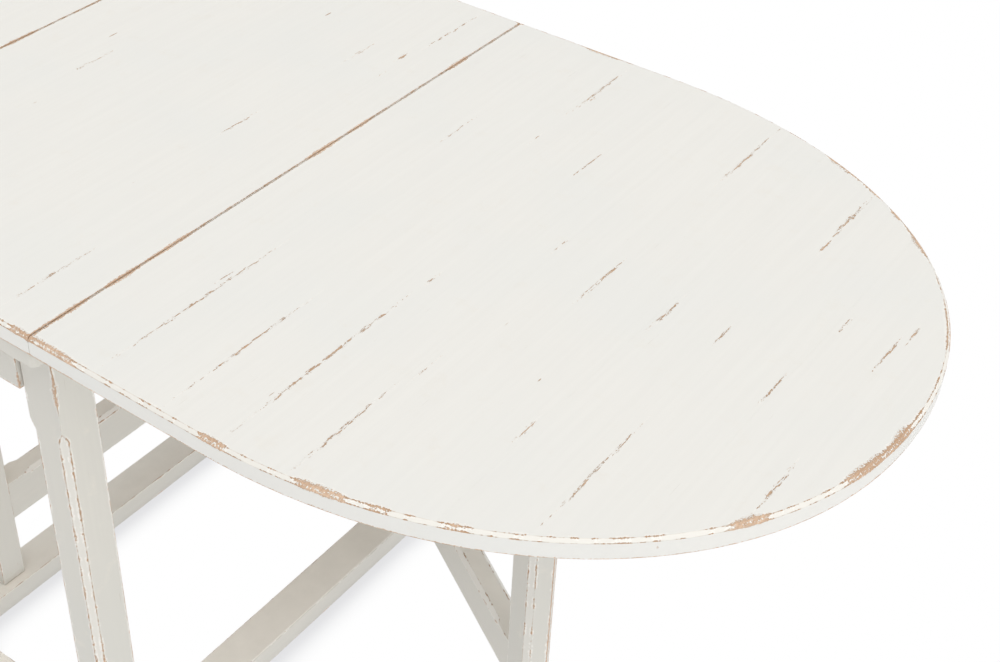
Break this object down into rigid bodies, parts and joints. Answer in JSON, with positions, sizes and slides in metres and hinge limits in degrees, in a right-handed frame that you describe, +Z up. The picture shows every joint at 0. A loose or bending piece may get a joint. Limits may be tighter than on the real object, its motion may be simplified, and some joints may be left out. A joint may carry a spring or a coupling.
{
  "type": "drop leaf table",
  "caption": "Gateleg dining table: narrow fixed centre, D-shaped drop leaves carried by swinging gates, sledge floor rails and a drawer in each end.",
  "frame": {"origin": "on the floor, under the middle of the table", "axes": "+X across the hinge lines towards the right leaf, +Y along the hinge lines to the far end, +Z up"},
  "size_m": [1.856, 0.8, 0.76],
  "materials": {
    "painted_wood": "worn off-white paint over brown wood, satin",
    "bare_wood": "unpainted, matt",
    "hinge_metal": "aged"
  },
  "bodies": {
    "frame": {"top_board_left": "painted_wood", "top_board_middle": "painted_wood", "top_board_right": "painted_wood", "top_batten_near": "painted_wood", "top_batten_far": "painted_wood", "leg_near_left": "painted_wood", "leg_near_right": "painted_wood", "leg_far_left": "painted_wood", "leg_far_right": "painted_wood", "side_apron_left": "painted_wood", "side_apron_right": "painted_wood", "end_top_rail_near": "painted_wood", "end_top_rail_far": "painted_wood", "bearer_rail_near": "bare_wood", "bearer_rail_far": "bare_wood", "drawer_runners": "bare_wood", "floor_rail_left": "painted_wood", "floor_rail_right": "painted_wood", "floor_stretcher_near": "painted_wood", "floor_stretcher_far": "painted_wood", "top_buttons": "bare_wood", "centre_hinge_flaps": "hinge_metal", "centre_hinge_screws": "hinge_metal", "hinge_pins": "hinge_metal", "right_leaf_board_1": "painted_wood", "right_leaf_board_2": "painted_wood", "right_leaf_board_3": "painted_wood", "right_leaf_board_4": "painted_wood", "right_leaf_board_5": "painted_wood", "right_leaf_hinge_flaps": "hinge_metal", "right_leaf_hinge_screws": "hinge_metal", "right_gate_stop": "bare_wood"},
    "left_leaf": {"left_leaf_board_1": "painted_wood", "left_leaf_board_2": "painted_wood", "left_leaf_board_3": "painted_wood", "left_leaf_board_4": "painted_wood", "left_leaf_board_5": "painted_wood", "left_leaf_hinge_flaps": "hinge_metal", "left_leaf_hinge_screws": "hinge_metal", "left_gate_stop": "bare_wood"},
    "right_gate": {"right_gate_post": "painted_wood", "right_gate_leg": "painted_wood", "right_gate_upper_rail": "painted_wood", "right_gate_lower_rail": "painted_wood", "right_gate_pins": "bare_wood"},
    "left_gate": {"left_gate_post": "painted_wood", "left_gate_leg": "painted_wood", "left_gate_upper_rail": "painted_wood", "left_gate_lower_rail": "painted_wood", "left_gate_pins": "bare_wood"},
    "near_drawer": {"near_drawer_front": "painted_wood", "near_drawer_sides": "bare_wood", "near_drawer_back": "bare_wood", "near_drawer_bottom": "bare_wood", "near_drawer_knob": "painted_wood"},
    "far_drawer": {"far_drawer_front": "painted_wood", "far_drawer_sides": "bare_wood", "far_drawer_back": "bare_wood", "far_drawer_bottom": "bare_wood", "far_drawer_knob": "painted_wood"}
  },
  "joints": [
    {"name": "right_gate_swing", "type": "hinge", "parent": "frame", "child": "right_gate", "pos_m": [0.177, 0.216, 0.3], "axis": [0, 0, 1], "range_deg": [-59, 0]},
    {"name": "left_gate_swing", "type": "hinge", "parent": "frame", "child": "left_gate", "pos_m": [-0.177, -0.216, 0.3], "axis": [0, 0, 1], "range_deg": [0, 59]},
    {"name": "left_leaf_drop", "type": "hinge", "parent": "frame", "child": "left_leaf", "pos_m": [-0.223, 0, 0.7346], "axis": [0, 1, 0], "range_deg": [-90, 0]},
    {"name": "near_drawer_slide", "type": "slide", "parent": "frame", "child": "near_drawer", "axis": [0, -1, 0], "range_m": [0, 0.24]},
    {"name": "far_drawer_slide", "type": "slide", "parent": "frame", "child": "far_drawer", "axis": [0, 1, 0], "range_m": [0, 0.24]}
  ]
}
